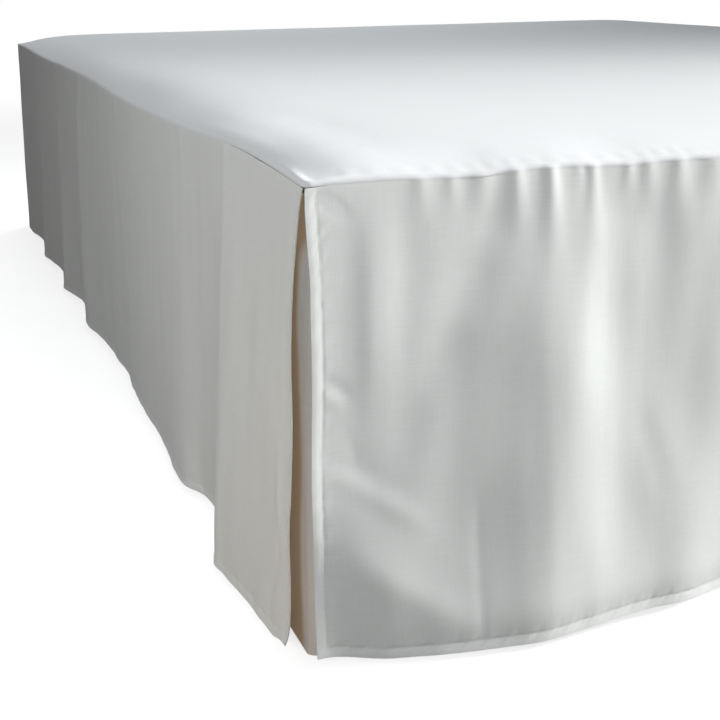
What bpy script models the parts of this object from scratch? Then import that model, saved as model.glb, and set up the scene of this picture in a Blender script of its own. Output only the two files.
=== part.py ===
"""A bed skirt with split corners, hanging from its deck cloth over a plain bed base on six legs.

The skirt is a deck that covers the base, a long panel on each side, a panel across the foot, and an
insert behind each split corner. The head end is left open, as on any three-sided skirt.

Metres. +X runs across the bed, +Y towards its head and +Z up. The origin is on the floor, under the
middle of the bounding box.
"""

import bisect
import math

import bmesh
import bpy

# Bed base: a sprung or foam block on turned legs
BASE_WIDTH = 1.524
BASE_LENGTH = 2.032
BASE_DEPTH = 0.229
BASE_CORNER_RADIUS = 0.030
BASE_SHOULDER_WIDTH = 0.090
BASE_SHOULDER_DROP = 0.028
LEG_TOP_RADIUS = 0.028
LEG_FOOT_RADIUS = 0.020
LEG_INSET = 0.110
LEG_SIDES = 20

# Skirt: heights, cloth and the room between its layers
SEAM_HEIGHT = 0.406
HEM_CLEARANCE = 0.008
CLOTH = 0.0015
LAYER_GAP = 0.0003
SEAM_OVERHANG = 0.005
DECK_CROWN = 0.018
DECK_SHOULDER_WIDTH = 0.090
DECK_CORNER_RADIUS = 0.006
DECK_OVER_BASE = 0.002
CORNER_SETBACK = 0.004
CORNER_SWING = 0.024
CORNER_HEM_LIFT = 0.006
CORNER_LIFT_REACH = 0.060

# Corner inserts
INSERT_WING = 0.150
INSERT_RADIUS = 0.020
INSERT_TUCK = 0.007
INSERT_FLARE = 0.005

# How far the foot panel stands out at its hem, which sets the middle of the bounding box
FOOT_REACH = 0.040

# Looks: what it is made of, its colour and its roughness
COTTON = ("white_cotton", (0.80, 0.81, 0.80), 0.85)
TICKING = ("grey_ticking", (0.62, 0.60, 0.56), 0.90)
BEECH = ("beech", (0.60, 0.42, 0.26), 0.50)

# Mesh steps
PANEL_STEP = 0.024
PANEL_ROWS = 6
SHOULDER_STEPS = (0.0, 0.004, 0.013, 0.028, 0.050, 0.074, 0.095)
INSERT_STEP = 0.018
INSERT_BEND_STEPS = 6

SEAM_HALF_WIDTH = BASE_WIDTH / 2 + SEAM_OVERHANG
LENGTHWISE_SHIFT = FOOT_REACH / 2
FOOT_SEAM_Y = LENGTHWISE_SHIFT - BASE_LENGTH / 2 - SEAM_OVERHANG
HEAD_Y = LENGTHWISE_SHIFT + BASE_LENGTH / 2
DECK_TOP = SEAM_HEIGHT + DECK_CROWN
BASE_TOP = DECK_TOP - CLOTH / 2 - DECK_OVER_BASE
BASE_BOTTOM = BASE_TOP - BASE_DEPTH
PANEL_DROP = SEAM_HEIGHT - HEM_CLEARANCE
SIDE_LENGTH = HEAD_Y - FOOT_SEAM_Y

# Each panel's folds at the hem: how far along from the corner, and how far out the hem stands there.
# The left panel's folds reach from the split corner at the foot to the head.
LEFT_FOLDS = [
    # along, out
    (0.000, 0.016),
    (0.030, 0.018),
    (0.080, 0.020),
    (0.140, 0.025),
    (0.185, 0.031),
    (0.212, 0.033),
    (0.245, 0.019),
    (0.280, 0.005),
    (0.330, 0.001),
    (0.375, 0.004),
    (0.408, 0.018),
    (0.440, 0.019),
    (0.500, 0.015),
    (0.570, 0.011),
    (0.720, 0.010),
    (0.830, 0.002),
    (0.940, 0.004),
    (1.050, 0.010),
    (1.115, 0.018),
    (1.180, 0.010),
    (1.270, 0.003),
    (1.325, 0.011),
    (1.375, 0.021),
    (1.430, 0.010),
    (1.520, 0.004),
    (1.610, 0.014),
    (1.665, 0.020),
    (1.730, 0.007),
    (1.830, 0.005),
    (1.930, 0.016),
    (2.060, 0.010),
]

# The foot panel's folds reach from the left corner to the right one.
FOOT_FOLDS = [
    # along, out
    (0.000, 0.000),
    (0.018, 0.001),
    (0.036, 0.005),
    (0.061, 0.013),
    (0.100, 0.023),
    (0.141, 0.031),
    (0.183, 0.037),
    (0.200, 0.038),
    (0.232, 0.033),
    (0.270, 0.023),
    (0.306, 0.018),
    (0.345, 0.020),
    (0.390, 0.011),
    (0.440, 0.004),
    (0.510, 0.012),
    (0.560, 0.026),
    (0.620, 0.015),
    (0.690, 0.005),
    (0.770, 0.016),
    (0.830, 0.029),
    (0.890, 0.018),
    (0.970, 0.006),
    (1.050, 0.014),
    (1.110, 0.024),
    (1.170, 0.012),
    (1.250, 0.006),
    (1.330, 0.022),
    (1.390, 0.030),
    (1.450, 0.018),
    (1.500, 0.004),
    (1.540, 0.001),
]

# The right panel's folds, from its split corner to the head.
RIGHT_FOLDS = [
    # along, out
    (0.000, 0.013),
    (0.060, 0.018),
    (0.130, 0.027),
    (0.180, 0.032),
    (0.230, 0.018),
    (0.300, 0.004),
    (0.390, 0.009),
    (0.455, 0.022),
    (0.520, 0.012),
    (0.620, 0.003),
    (0.720, 0.012),
    (0.790, 0.026),
    (0.850, 0.015),
    (0.950, 0.004),
    (1.060, 0.014),
    (1.120, 0.021),
    (1.190, 0.009),
    (1.300, 0.003),
    (1.390, 0.017),
    (1.450, 0.024),
    (1.520, 0.010),
    (1.620, 0.004),
    (1.720, 0.012),
    (1.780, 0.019),
    (1.860, 0.006),
    (1.950, 0.010),
    (2.060, 0.013),
]

# Where the seam rides up or dips as it goes round the bed, by how far it is from the foot corner.
# The deck has a row of points at each place, so the cloth that meets it there follows the same line.
SIDE_SEAM = [
    # along, up
    (0.000, 0.000),
    (0.170, 0.003),
    (0.260, 0.003),
    (0.350, 0.001),
    (0.450, -0.001),
    (0.600, -0.003),
    (0.760, -0.003),
    (0.920, 0.000),
    (1.080, 0.001),
    (1.250, 0.000),
    (1.430, -0.001),
    (1.620, -0.002),
    (1.830, 0.000),
    (2.037, 0.000),
]
FOOT_SEAM = [
    # along, up
    (0.000, 0.000),
    (0.140, -0.003),
    (0.220, -0.001),
    (0.300, 0.002),
    (0.440, 0.000),
    (0.600, -0.001),
    (0.760, 0.001),
    (0.920, 0.000),
    (1.080, -0.002),
    (1.240, 0.000),
    (1.390, 0.001),
    (1.534, 0.000),
]


def clear_scene():
    for obj in list(bpy.data.objects):
        bpy.data.objects.remove(obj)


def new_collection(name):
    collection = bpy.data.collections.new(name)
    bpy.context.scene.collection.children.link(collection)
    return collection


def make_material(name, look):
    kind, colour, roughness = look
    material = bpy.data.materials.new(f"{kind}_{name}")
    material.use_nodes = True
    shader = material.node_tree.nodes["Principled BSDF"]
    shader.inputs["Base Color"].default_value = (*colour, 1.0)
    shader.inputs["Roughness"].default_value = roughness
    shader.inputs["Metallic"].default_value = 0.0
    return material


def add_object(name, mesh, look):
    mesh.materials.append(make_material(name, look))
    obj = bpy.data.objects.new(name, mesh)
    skirt_and_base.objects.link(obj)
    return obj


def solidify(obj, thickness):
    modifier = obj.modifiers.new("cloth thickness", "SOLIDIFY")
    modifier.thickness = thickness
    modifier.offset = 0.0


def smooth_table(table, at):
    """The value at a place between a table's rows, on a curve through them (Catmull-Rom)."""
    places = [row[0] for row in table]
    last = len(table) - 1
    i = min(max(bisect.bisect_right(places, at) - 1, 0), last - 1)
    share = min(max((at - places[i]) / (places[i + 1] - places[i]), 0.0), 1.0)
    width = places[i + 1] - places[i]
    before, after = max(i - 1, 0), min(i + 2, last)
    slope_in = (table[i + 1][1] - table[before][1]) / (places[i + 1] - places[before]) * width
    slope_out = (table[after][1] - table[i][1]) / (places[after] - places[i]) * width
    low, high = table[i][1], table[i + 1][1]
    return (
        (2 * share**3 - 3 * share**2 + 1) * low
        + (share**3 - 2 * share**2 + share) * slope_in
        + (3 * share**2 - 2 * share**3) * high
        + (share**3 - share**2) * slope_out
    )


def straight_table(table, at):
    """The value at a place between a table's rows, on a straight line from one to the next."""
    last = len(table) - 1
    i = min(max(bisect.bisect_right([row[0] for row in table], at) - 1, 0), last - 1)
    share = min(max((at - table[i][0]) / (table[i + 1][0] - table[i][0]), 0.0), 1.0)
    return table[i][1] + (table[i + 1][1] - table[i][1]) * share


def ease(share):
    """0 to 1 with no corner at either end."""
    share = min(max(share, 0.0), 1.0)
    return share * share * (3 - 2 * share)


def shaped_grid(name, columns, rows, place):
    """A mesh grid whose vertex in a column and row goes where place(column, row) says."""
    work = bmesh.new()
    bmesh.ops.create_grid(work, x_segments=columns, y_segments=rows, size=1.0)
    for vertex in work.verts:
        column = round((vertex.co.x + 1) / 2 * columns)
        row = round((vertex.co.y + 1) / 2 * rows)
        vertex.co = place(column, row)
    mesh = bpy.data.meshes.new(name)
    work.to_mesh(mesh)
    work.free()
    return mesh


def even_steps(start, end, step):
    count = max(1, round((end - start) / step))
    return [start + (end - start) * i / count for i in range(count + 1)]


def shoulder(distance, width):
    """The rise of a soft edge, 0 at the edge and 1 from width inwards, as a quarter of an ellipse."""
    share = min(max(distance / width, 0.0), 1.0)
    return math.sqrt(1 - (1 - share) ** 2)


def round_corner(x, y, half_width, foot, head, radius, round_head):
    """Moves a point of a rectangle's corner square onto a quarter disc of that radius."""
    over_x = abs(x) - (half_width - radius)
    over_foot = (foot + radius) - y
    over_head = y - (head - radius) if round_head else -1.0
    over_y = max(over_foot, over_head)
    if over_x <= 0 or over_y <= 0:
        return x, y
    reach = max(over_x, over_y) / math.hypot(over_x, over_y)
    new_x = math.copysign(half_width - radius + over_x * reach, x)
    if over_foot > over_head:
        return new_x, foot + radius - over_y * reach
    return new_x, head - radius + over_y * reach


def seam_rise(x, y):
    """How far the seam nearest to a point rides up there, fading out over the deck's shoulder."""
    from_side = SEAM_HALF_WIDTH - abs(x)
    from_foot = y - FOOT_SEAM_Y
    side_share = 1 - ease(from_side / DECK_SHOULDER_WIDTH)
    foot_share = 1 - ease(from_foot / DECK_SHOULDER_WIDTH)
    side = straight_table(SIDE_SEAM, from_foot) * side_share
    foot = straight_table(FOOT_SEAM, x + SEAM_HALF_WIDTH) * foot_share
    return side + foot


def deck_point(x, y):
    rise = shoulder(SEAM_HALF_WIDTH - abs(x), DECK_SHOULDER_WIDTH)
    rise *= shoulder(y - FOOT_SEAM_Y, DECK_SHOULDER_WIDTH)
    z = SEAM_HEIGHT + DECK_CROWN * rise + seam_rise(x, y)
    x, y = round_corner(
        x, y, SEAM_HALF_WIDTH, FOOT_SEAM_Y, HEAD_Y, DECK_CORNER_RADIUS, round_head=False
    )
    return x, y, z


def build_deck():
    shoulder_end = SHOULDER_STEPS[-1]
    across = list(SHOULDER_STEPS)
    across += [row[0] for row in FOOT_SEAM if shoulder_end < row[0] < FOOT_SEAM[-1][0] - shoulder_end]
    across += [FOOT_SEAM[-1][0] - step for step in reversed(SHOULDER_STEPS)]
    across = [place - SEAM_HALF_WIDTH for place in across]
    along = list(SHOULDER_STEPS) + [row[0] for row in SIDE_SEAM if row[0] > shoulder_end]
    along = [place + FOOT_SEAM_Y for place in along]
    mesh = shaped_grid(
        "deck",
        len(across) - 1,
        len(along) - 1,
        lambda column, row: deck_point(across[column], along[row]),
    )
    solidify(add_object("deck", mesh, COTTON), CLOTH)


def panel_point(start, along_way, out_way, at, share, folds, seam, length):
    """A point of a hanging panel, at a distance along its seam and a share of the way to its hem."""
    swing = CORNER_SWING * share * (1 - ease(at / CORNER_LIFT_REACH))
    out = smooth_table(folds, at) * share
    top = SEAM_HEIGHT + straight_table(seam, at) - CLOTH / 2 - LAYER_GAP
    lift = CORNER_HEM_LIFT * (1 - ease(at / CORNER_LIFT_REACH))
    if seam is FOOT_SEAM:
        swing = 0.0
        lift += CORNER_HEM_LIFT * (1 - ease((length - at) / CORNER_LIFT_REACH))
    bottom = HEM_CLEARANCE + lift
    x = start[0] + along_way[0] * (at + swing) + out_way[0] * out
    y = start[1] + along_way[1] * (at + swing) + out_way[1] * out
    return x, y, top + (bottom - top) * share


def build_panel(name, start, along_way, out_way, first, last, folds, seam):
    stations = even_steps(first, last, PANEL_STEP)
    mesh = shaped_grid(
        name,
        len(stations) - 1,
        PANEL_ROWS,
        lambda column, row: panel_point(
            start, along_way, out_way, stations[column], row / PANEL_ROWS, folds, seam, last
        ),
    )
    solidify(add_object(name, mesh, COTTON), CLOTH)


def build_panels():
    left_corner = (-SEAM_HALF_WIDTH, FOOT_SEAM_Y)
    right_corner = (SEAM_HALF_WIDTH, FOOT_SEAM_Y)
    side = (CORNER_SETBACK, SIDE_LENGTH)
    across = (CORNER_SETBACK, 2 * SEAM_HALF_WIDTH - CORNER_SETBACK)
    build_panel("panel_left", left_corner, (0, 1), (-1, 0), *side, LEFT_FOLDS, SIDE_SEAM)
    build_panel("panel_right", right_corner, (0, 1), (1, 0), *side, RIGHT_FOLDS, SIDE_SEAM)
    build_panel("panel_foot", left_corner, (1, 0), (0, -1), *across, FOOT_FOLDS, FOOT_SEAM)


def insert_outline():
    """The insert's path in plan from the side wing's end, round the corner, to the foot wing's end.

    Each row is (inwards from the side seam, back from the foot seam, share of it that faces the side).
    """
    inset = CLOTH + LAYER_GAP
    centre = inset + INSERT_RADIUS
    rows = [(inset, back, 1.0) for back in even_steps(INSERT_WING, centre, INSERT_STEP)]
    for i in range(1, INSERT_BEND_STEPS):
        turn = math.pi / 2 * i / INSERT_BEND_STEPS
        rows.append(
            (
                centre - INSERT_RADIUS * math.cos(turn),
                centre - INSERT_RADIUS * math.sin(turn),
                1 - i / INSERT_BEND_STEPS,
            )
        )
    rows += [(across, inset, 0.0) for across in even_steps(centre, INSERT_WING, INSERT_STEP)]
    return rows


def insert_point(side_sign, row, share):
    """The side wing flares out a little towards its hem, and the foot wing tucks in under the base."""
    inwards, back, faces_side = row
    below = max(0.0, share - 0.5) / 0.5
    flare = INSERT_FLARE * share * faces_side
    tuck = INSERT_TUCK * below * below * (1 - faces_side)
    x = side_sign * (SEAM_HALF_WIDTH - inwards + flare)
    y = FOOT_SEAM_Y + back + tuck
    top = SEAM_HEIGHT - DECK_CROWN / 2
    bottom = HEM_CLEARANCE + CORNER_HEM_LIFT
    return x, y, top + (bottom - top) * share


def build_insert(name, side_sign):
    outline = insert_outline()
    mesh = shaped_grid(
        name,
        len(outline) - 1,
        PANEL_ROWS,
        lambda column, row: insert_point(side_sign, outline[column], row / PANEL_ROWS),
    )
    solidify(add_object(name, mesh, COTTON), CLOTH)


def base_point(x, y):
    half = BASE_WIDTH / 2
    foot, head = HEAD_Y - BASE_LENGTH, HEAD_Y
    rise = shoulder(half - abs(x), BASE_SHOULDER_WIDTH)
    rise *= shoulder(min(y - foot, head - y), BASE_SHOULDER_WIDTH)
    z = BASE_TOP - BASE_SHOULDER_DROP * (1 - rise)
    x, y = round_corner(x, y, half, foot, head, BASE_CORNER_RADIUS, round_head=True)
    return x, y, z


def build_base():
    half = BASE_WIDTH / 2
    foot = HEAD_Y - BASE_LENGTH
    across = [-half + step for step in SHOULDER_STEPS]
    across += [half - step for step in reversed(SHOULDER_STEPS)]
    along = [foot + step for step in SHOULDER_STEPS]
    along += [HEAD_Y - step for step in reversed(SHOULDER_STEPS)]
    mesh = shaped_grid(
        "bed_base",
        len(across) - 1,
        len(along) - 1,
        lambda column, row: base_point(across[column], along[row]),
    )
    work = bmesh.new()
    work.from_mesh(mesh)
    grown = bmesh.ops.extrude_face_region(work, geom=work.faces[:])
    for part in grown["geom"]:
        if isinstance(part, bmesh.types.BMVert):
            part.co.z = BASE_BOTTOM
    bmesh.ops.recalc_face_normals(work, faces=work.faces[:])
    work.to_mesh(mesh)
    work.free()
    add_object("bed_base", mesh, TICKING)


def build_legs():
    height = BASE_BOTTOM - LAYER_GAP
    side = BASE_WIDTH / 2 - LEG_INSET
    foot, head = HEAD_Y - BASE_LENGTH + LEG_INSET, HEAD_Y - LEG_INSET
    places = [(x, y) for y in (foot, (foot + head) / 2, head) for x in (-side, side)]
    for number, (x, y) in enumerate(places, start=1):
        work = bmesh.new()
        bmesh.ops.create_cone(
            work,
            cap_ends=True,
            segments=LEG_SIDES,
            radius1=LEG_FOOT_RADIUS,
            radius2=LEG_TOP_RADIUS,
            depth=height,
        )
        mesh = bpy.data.meshes.new(f"leg_{number}")
        work.to_mesh(mesh)
        work.free()
        leg = add_object(f"leg_{number}", mesh, BEECH)
        leg.location = (x, y, height / 2)


clear_scene()
skirt_and_base = new_collection("bed_skirt_on_base")
build_base()
build_legs()
build_deck()
build_panels()
build_insert("insert_left", -1)
build_insert("insert_right", 1)
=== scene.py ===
# A white cotton bed skirt with split corners, over a plain bed base: surfaces, materials, light and camera.
# Metres, but for the tables marked mm. +X across the bed, +Y towards its head, +Z up. The near corner is at
# the foot, on the left.
import math

import bpy
import numpy as np
from mathutils import Matrix, Vector


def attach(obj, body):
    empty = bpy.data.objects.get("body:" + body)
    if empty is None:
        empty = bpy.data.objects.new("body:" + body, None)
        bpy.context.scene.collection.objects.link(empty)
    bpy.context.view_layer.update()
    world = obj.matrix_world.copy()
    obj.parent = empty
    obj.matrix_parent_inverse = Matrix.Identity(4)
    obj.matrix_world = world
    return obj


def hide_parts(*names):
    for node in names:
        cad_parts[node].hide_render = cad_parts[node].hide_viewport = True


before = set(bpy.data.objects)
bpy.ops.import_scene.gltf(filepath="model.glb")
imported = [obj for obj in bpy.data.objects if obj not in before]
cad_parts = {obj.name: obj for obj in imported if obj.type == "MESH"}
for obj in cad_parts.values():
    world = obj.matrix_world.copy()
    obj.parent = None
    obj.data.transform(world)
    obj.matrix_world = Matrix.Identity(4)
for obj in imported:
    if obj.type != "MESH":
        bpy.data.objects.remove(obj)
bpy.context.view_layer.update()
print("frame loaded")

# The skirt's main lines, which are the same as the solids'
halfSeam = 0.767  # half the width between the two side seams
footSeam = -1.001  # where the foot panel hangs
headEdge = 1.036
seamHeight = 0.406
hemHeight = 0.008
panelDrop = seamHeight - hemHeight
sideLength = headEdge - footSeam
seamRoll = 0.0034  # the deck's edge rolls over to the panels' tops round this radius
seamGap = 0.0002

# How far the seam rides up or dips, by the distance from the foot corner
sideSeamWave = [  # mm: along, up
    (0, 1.6), (30, 3.2), (60, 4.8), (114, 7), (175, 8.2), (244, 6.8), (290, 4.6), (345, 2), (430, -1),
    (530, -1.6), (630, -3.6), (786, -3.4), (920, -0.4), (1060, 1), (1250, 0.6), (1343, 0.4), (1430, -1),
    (1620, -2), (1830, 0), (2037, 0),
]
footSeamWave = [  # mm: along, up
    (0, 1.6), (22, 2.8), (44, 2.6), (68, 2.6), (92, 1.4), (117, 0.5), (142, 0.4), (168, 2), (194, 2.4),
    (215, 2.4), (234, 1.7), (252, 0.6), (275, 0), (300, 0.8), (380, 1), (500, -0.6), (640, -0.8),
    (760, 1), (920, 0), (1080, -2), (1240, 0), (1390, 1), (1534, 1.6),
]


def cubic(f, width, y0, slope0, y1, slope1):
    # The cubic across an interval, by the share f of the way, from its values and slopes at both ends
    return (
        (2 * f**3 - 3 * f**2 + 1) * y0
        + (f**3 - 2 * f**2 + f) * width * slope0
        + (3 * f**2 - 2 * f**3) * y1
        + (f**3 - f**2) * width * slope1
    )


def smoothTable(rows, column, at):
    # A cubic through the values of a table in mm, whose slope at a row is that of the rows on either side
    table = np.array(rows, dtype=float) / 1000
    x, y = table[:, 0], table[:, column]
    slope = np.gradient(y, x)
    i = np.clip(np.searchsorted(x, at, side="right") - 1, 0, len(x) - 2)
    width = x[i + 1] - x[i]
    f = np.clip((at - x[i]) / width, 0.0, 1.0)
    return cubic(f, width, y[i], slope[i], y[i + 1], slope[i + 1])


def inMetres(rows, lengths=None):
    # The rows of a table in mm, in metres: the first few values of each, or all of them
    return [[v / 1000 for v in row[:lengths]] + list(row[len(row[:lengths]) :]) for row in rows]


def ease(x):
    # 0 to 1 with no corner at either end
    x = np.clip(x, 0.0, 1.0)
    return x * x * (3 - 2 * x)


def stations(runs):
    # Places along a line: each run goes from a start to an end, in even steps of about its step
    places = [np.linspace(a, b, max(1, round((b - a) / step)) + 1)[:-1] for a, b, step in runs]
    return np.concatenate(places + [[runs[-1][1]]])


def unevenness(u, v, seed, size, depth):
    # A low swell: a sum of twelve sine waves of about one size, whose ways and phases are random
    draw = np.random.default_rng(seed)
    total = np.zeros(np.broadcast(u, v).shape)
    for _ in range(12):
        turn = draw.uniform(0, math.pi)
        length = size * draw.uniform(0.6, 1.7)
        phase = draw.uniform(0, 2 * math.pi)
        total = total + np.sin(2 * math.pi * (u * math.cos(turn) + v * math.sin(turn)) / length + phase)
    return total * depth / 3.5  # twelve waves add up to about this much


def gridQuads(rows, columns):
    # The quads between a grid's points, each with its normal on the side of columns x rows
    corner = np.arange(rows * columns).reshape(rows, columns)
    around = [corner[:-1, :-1], corner[:-1, 1:], corner[1:, 1:], corner[1:, :-1]]
    return np.stack(around, axis=-1).reshape(-1, 4)


def meshObject(name, points, quads, clothUV, material, marks=None, caps=(), lines=None):
    # A mesh of quads and flat caps. Its UV map is the cloth's own metres, and marks are numbers kept at its
    # points. An edge is sharp where both its ends have the same line number
    loops = np.concatenate([quads.reshape(-1), *caps])
    sizes = np.concatenate([np.full(len(quads), 4), [len(cap) for cap in caps]]).astype(np.int32)
    starts = np.cumsum(sizes) - sizes
    mesh = bpy.data.meshes.new(name)
    mesh.vertices.add(len(points))
    mesh.vertices.foreach_set("co", points.reshape(-1).astype(np.float32))
    mesh.loops.add(len(loops))
    mesh.loops.foreach_set("vertex_index", loops.astype(np.int32))
    mesh.polygons.add(len(sizes))
    mesh.polygons.foreach_set("loop_start", starts.astype(np.int32))
    mesh.polygons.foreach_set("use_smooth", sizes == 4)
    mesh.update(calc_edges=True)
    if lines is not None:
        ends = np.empty(2 * len(mesh.edges), dtype=np.int32)
        mesh.edges.foreach_get("vertices", ends)
        number = lines[ends.reshape(-1, 2)]
        mesh.edges.foreach_set("use_edge_sharp", (number[:, 0] > 0) & (number[:, 0] == number[:, 1]))
    layer = mesh.uv_layers.new(name="clothMetres")
    layer.data.foreach_set("uv", clothUV[loops].reshape(-1).astype(np.float32))
    for markName, values in (marks or {}).items():
        mark = mesh.attributes.new(markName, "FLOAT", "POINT")
        mark.data.foreach_set("value", values.reshape(-1).astype(np.float32))
    mesh.materials.append(material)
    made = bpy.data.objects.new(name, mesh)
    bpy.context.scene.collection.objects.link(made)
    return made


def borderLoop(rows, columns):
    # The numbers of a grid's outer points, in order round it, the way its quads turn
    corner = np.arange(rows * columns).reshape(rows, columns)
    return np.concatenate([corner[0, :-1], corner[:-1, -1], corner[-1, :0:-1], corner[:0:-1, 0]])


def sheetObject(name, points, clothUV, thickness, material, marks=None):
    # Cloth with two faces: each point is moved half the thickness both ways along the grid's normal there,
    # which is the cross product of its two directions, and a narrow rim joins the two faces all round
    rows, columns = points.shape[:2]
    total = rows * columns
    normal = np.cross(np.gradient(points, axis=1), np.gradient(points, axis=0))
    normal /= np.maximum(np.linalg.norm(normal, axis=-1, keepdims=True), 1e-12)
    both = np.concatenate([points + normal * thickness / 2, points - normal * thickness / 2]).reshape(-1, 3)
    outer = gridQuads(rows, columns)
    loop = borderLoop(rows, columns)
    after = np.roll(loop, -1)
    rim = np.stack([after, loop, loop + total, after + total], axis=-1)
    quads = np.concatenate([outer, outer[:, ::-1] + total, rim])
    lines = np.zeros(2 * total, dtype=np.int8)
    lines[loop] = 1
    lines[loop + total] = 2
    clothUV = np.tile(clothUV.reshape(-1, 2), (2, 1))
    marks = {key: np.tile(values.reshape(-1), 2) for key, values in (marks or {}).items()}
    return meshObject(name, both, quads, clothUV, material, marks, lines=lines)


# Materials


def linear(hexColour):
    # An sRGB hex colour as Blender's linear one
    parts = [int(hexColour[i : i + 2], 16) / 255 for i in (1, 3, 5)]
    return [p / 12.92 if p <= 0.04045 else ((p + 0.055) / 1.055) ** 2.4 for p in parts] + [1.0]


def addNode(tree, kind, settings=None, links=None):
    # One shader node with its settings by name, and links from {input: output socket}
    made = tree.nodes.new("ShaderNode" + kind)
    for key, value in (settings or {}).items():
        if isinstance(key, str) and hasattr(made, key):
            setattr(made, key, value)
        else:
            made.inputs[key].default_value = value
    for key, source in (links or {}).items():
        tree.links.new(source, made.inputs[key])
    return made


def mathNode(tree, operation, first, second=None):
    # A sum of one or two values, each a number or another node's output
    settings, links = {"operation": operation}, {}
    for index, value in enumerate((first, second)):
        if isinstance(value, bpy.types.NodeSocket):
            links[index] = value
        elif value is not None:
            settings[index] = value
    return addNode(tree, "Math", settings, links).outputs[0]


def bumpNode(tree, height, strength, distance, normal=None):
    # The normal that a height gives, on top of another one if there is one
    links = {"Height": height}
    if normal is not None:
        links["Normal"] = normal
    return addNode(tree, "Bump", {"Strength": strength, "Distance": distance}, links).outputs[0]


def newMaterial(name, look):
    # A material, its node tree and its shader, with the look's two plain values
    material = bpy.data.materials.new(name)
    material.use_nodes = True
    shader = material.node_tree.nodes["Principled BSDF"]
    shader.inputs["Roughness"].default_value = look["roughness"]
    shader.inputs["Specular IOR Level"].default_value = look["specular"]
    return material, material.node_tree, shader


cottonLook = {
    "panels": ("#eff2ef", "#e9ece8"),  # each cloth's colour, and the one between its threads
    "deck": ("#f0f2f3", "#ebedee"),
    "inserts": ("#efefee", "#e8e8e6"),
    # the colour of the painted warm shade deep in the split, behind the side panel
    "paintedShade": "#ceb89c",
    "roughness": 0.88,
    "specular": 0.25,
    "sheen": 0.10,
    "sheenRoughness": 0.5,
    "threadWidth": 0.0011,  # real threads are 0.25 mm apart; drawn this coarse so that they show
    "threadRun": 0.030,  # how long a thicker stretch of a thread is
    "threadDepth": 0.00003,
    "threadSpread": (0.70, 1.30),  # sums of warp and weft that give the one colour and the other
    "slubWidth": 0.005,
    "slubRun": 0.20,
    "slubDepth": 0.00004,
    "relief": 0.6,
    "stitchLine": 0.0092,  # from the hemmed edge
    "stitchEvery": 0.0028,
    "stitchWidth": 0.0007,
    "stitchDepth": 0.00018,
    "stitchRelief": 0.8,
    "stitchEnds": (-0.75, -0.2),  # where on each wave a stitch starts to rise, and where it is full
}


def wovenCotton(name, cloth, threads=1.0, stitched=False, paintedShade=False):
    # Percale cotton, woven plain and washed: matt, faintly streaked along its warp, with a little fuzz
    look = cottonLook
    material, tree, shader = newMaterial(name, look)
    shader.inputs["Sheen Weight"].default_value = look["sheen"]
    shader.inputs["Sheen Roughness"].default_value = look["sheenRoughness"]
    place = addNode(tree, "UVMap", {"uv_map": "clothMetres"}).outputs["UV"]
    scales = {
        "warp": (1 / look["threadWidth"], 1 / look["threadRun"], 1.0),
        "weft": (1 / look["threadRun"], 1 / look["threadWidth"], 1.0),
        "slub": (1 / look["slubWidth"], 1 / look["slubRun"], 1.0),
    }
    noise = {}
    for kind, scale in scales.items():
        mapped = addNode(tree, "Mapping", {"Scale": scale}, {"Vector": place}).outputs[0]
        grain = addNode(tree, "TexNoise", {"Scale": 1.0, "Detail": 2.0}, {"Vector": mapped})
        noise[kind] = grain.outputs["Fac"]
    weave = mathNode(tree, "ADD", noise["warp"], noise["weft"])
    low, high = look["threadSpread"]
    level = addNode(tree, "MapRange", {"From Min": low, "From Max": high}, {"Value": weave})
    yarn, gap = look[cloth]
    colours = {"data_type": "RGBA", 6: linear(gap), 7: linear(yarn)}
    finish = addNode(tree, "Mix", colours, {0: level.outputs[0]}).outputs[2]
    if paintedShade:
        # Painted shade: deep in the split, behind the side panel, the cloth is tinted a warm brown where the
        # shade falls
        paintedShadeMask = addNode(tree, "Attribute", {"attribute_name": "paintedShade"}).outputs["Fac"]
        paintedShadeMix = {"data_type": "RGBA", 7: linear(look["paintedShade"])}
        finish = addNode(tree, "Mix", paintedShadeMix, {0: paintedShadeMask, 6: finish}).outputs[2]
    tree.links.new(finish, shader.inputs["Base Color"])
    normal = bumpNode(tree, noise["slub"], look["relief"] * threads, look["slubDepth"])
    normal = bumpNode(tree, weave, look["relief"] * threads, look["threadDepth"], normal)
    if stitched:
        # A run of straight stitches along the hem's inner edge: along plus drop counts them round the corner
        apart = addNode(tree, "SeparateXYZ", None, {0: place})
        run = mathNode(tree, "SUBTRACT", apart.outputs["X"], apart.outputs["Y"])
        wave = mathNode(tree, "SINE", mathNode(tree, "MULTIPLY", run, 2 * math.pi / look["stitchEvery"]))
        low, high = look["stitchEnds"]
        dashes = addNode(tree, "MapRange", {"From Min": low, "From Max": high}, {"Value": wave})
        edge = addNode(tree, "Attribute", {"attribute_name": "edgeDistance"}).outputs["Fac"]
        off = mathNode(tree, "ABSOLUTE", mathNode(tree, "SUBTRACT", edge, look["stitchLine"]))
        ends = {"From Min": look["stitchWidth"] / 2, "From Max": 0.0, "To Min": 0.0, "To Max": 1.0}
        band = addNode(tree, "MapRange", ends, {"Value": off})
        thread = mathNode(tree, "MULTIPLY", band.outputs[0], dashes.outputs[0])
        normal = bumpNode(tree, thread, look["stitchRelief"], look["stitchDepth"], normal)
    tree.links.new(normal, shader.inputs["Normal"])
    return material


tickingLook = {
    "roughness": 0.92,
    "specular": 0.25,
    "colours": ("#cfccc4", "#dedbd4"),
    "mottle": 420.0,  # patches of about 2.4 mm
    "stripes": 55.0,  # one every 5.7 mm
    "stripeWander": 0.3,
    "ridgeDepth": 0.0002,
    "relief": 0.3,
}


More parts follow.
